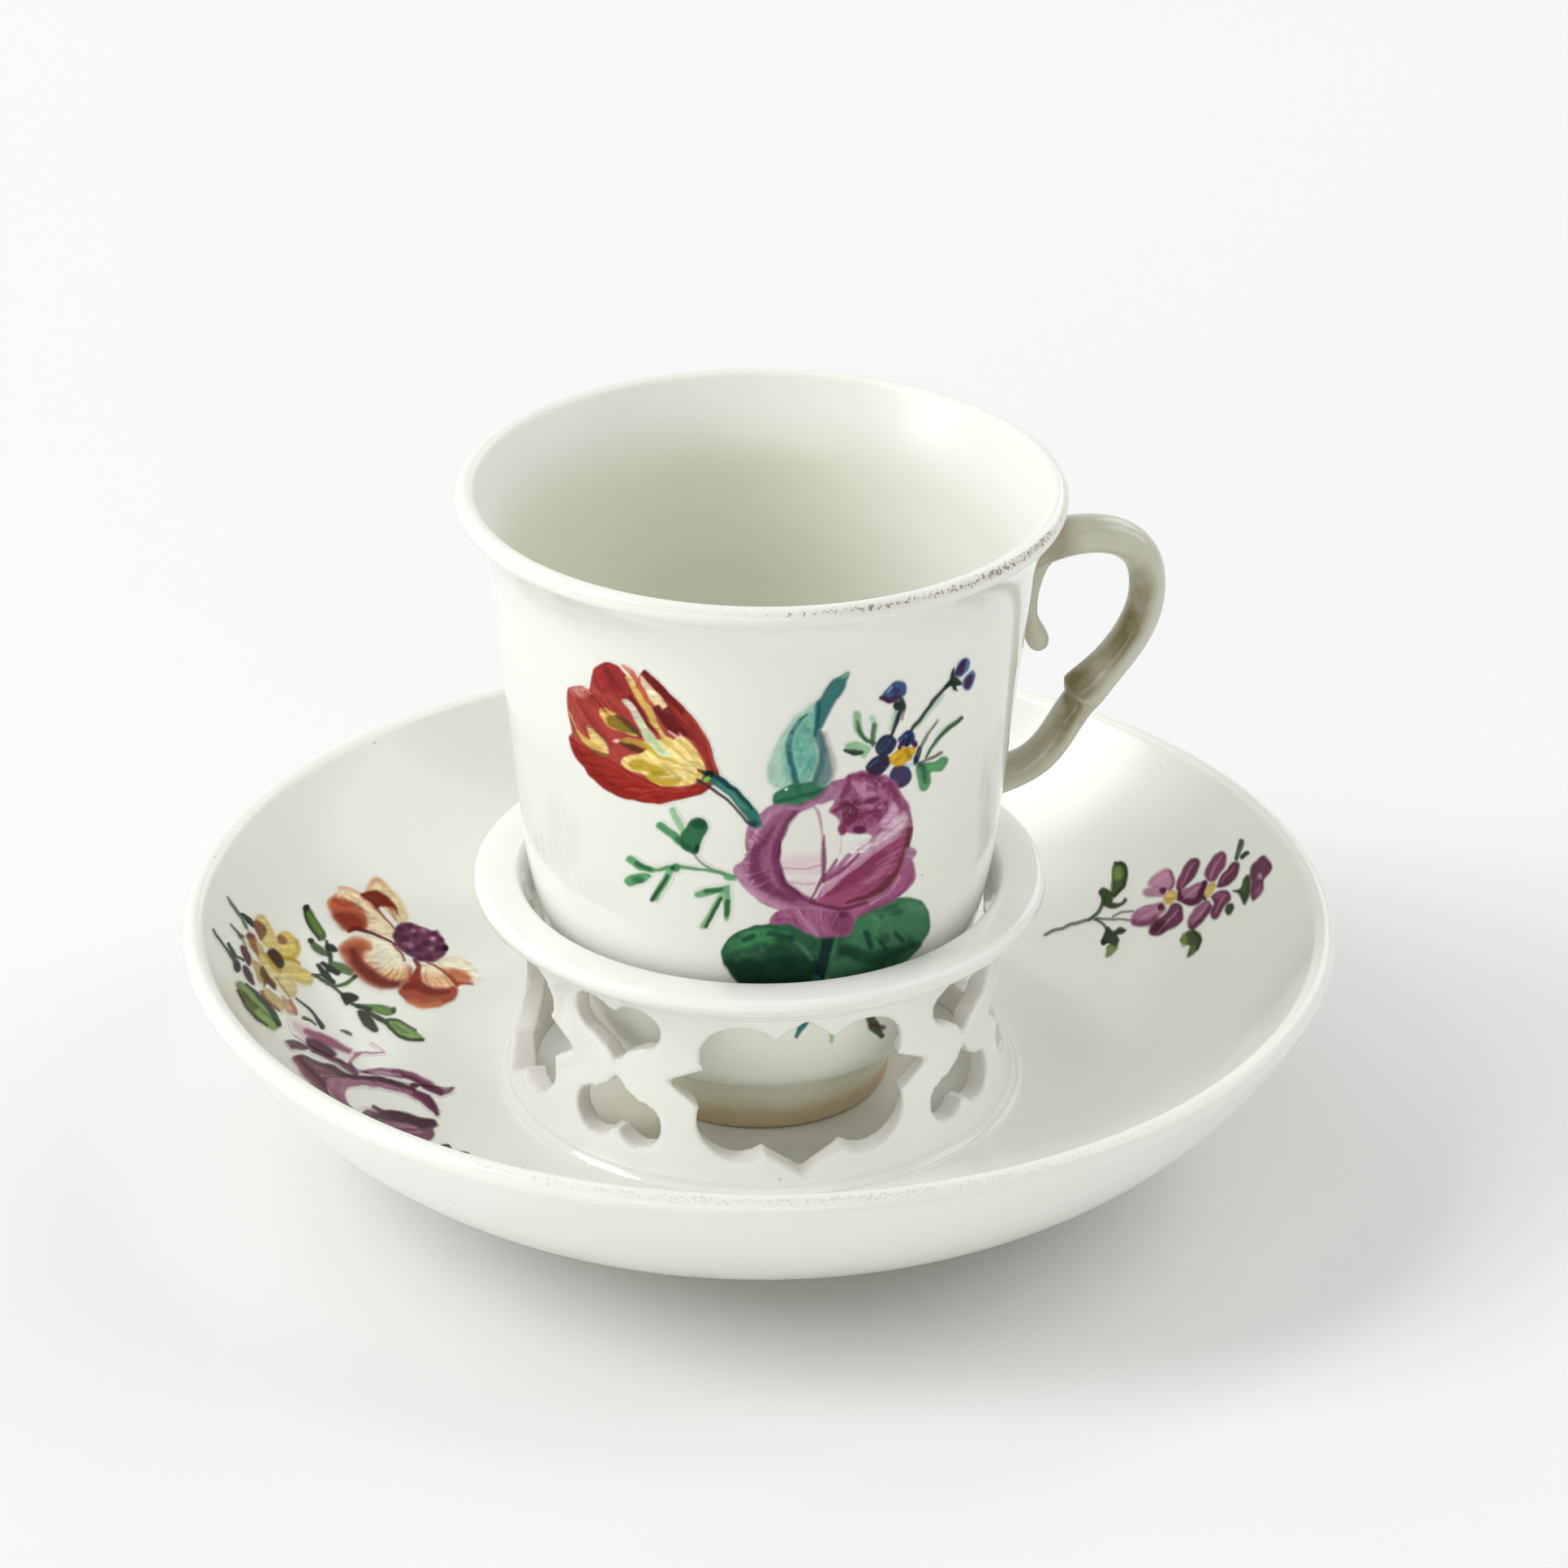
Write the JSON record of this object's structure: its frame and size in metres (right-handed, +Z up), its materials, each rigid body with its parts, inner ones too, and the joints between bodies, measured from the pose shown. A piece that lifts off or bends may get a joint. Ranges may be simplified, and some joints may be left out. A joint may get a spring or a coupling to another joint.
{
  "type": "trembleuse cup and saucer",
  "caption": "Porcelain chocolate cup with a scroll handle and flared lip, standing loose in the pierced gallery ring of its deep saucer.",
  "frame": {"origin": "centre of the saucer's foot ring on the table", "axes": "+Z up along the common axis of saucer, gallery and cup; +X towards the cup's handle; +Y completes a right-handed frame"},
  "size_m": [0.145, 0.145, 0.0885],
  "materials": {
    "glazed_porcelain": "clear glossy glaze over white paste",
    "foot_clay": "wiped, stained paste with little glaze"
  },
  "bodies": {
    "saucer": {"saucer_dish": "glazed_porcelain", "saucer_foot_ring": "foot_clay", "gallery_wall": "glazed_porcelain", "gallery_rim": "glazed_porcelain"},
    "cup": {"cup_body": "glazed_porcelain", "cup_foot_ring": "foot_clay", "cup_handle": "glazed_porcelain", "handle_spur": "glazed_porcelain"}
  },
  "joints": [
    {"name": "cup_lift", "type": "slide", "parent": "saucer", "child": "cup", "axis": [0, 0, 1], "range_m": [0, 0.05]}
  ]
}
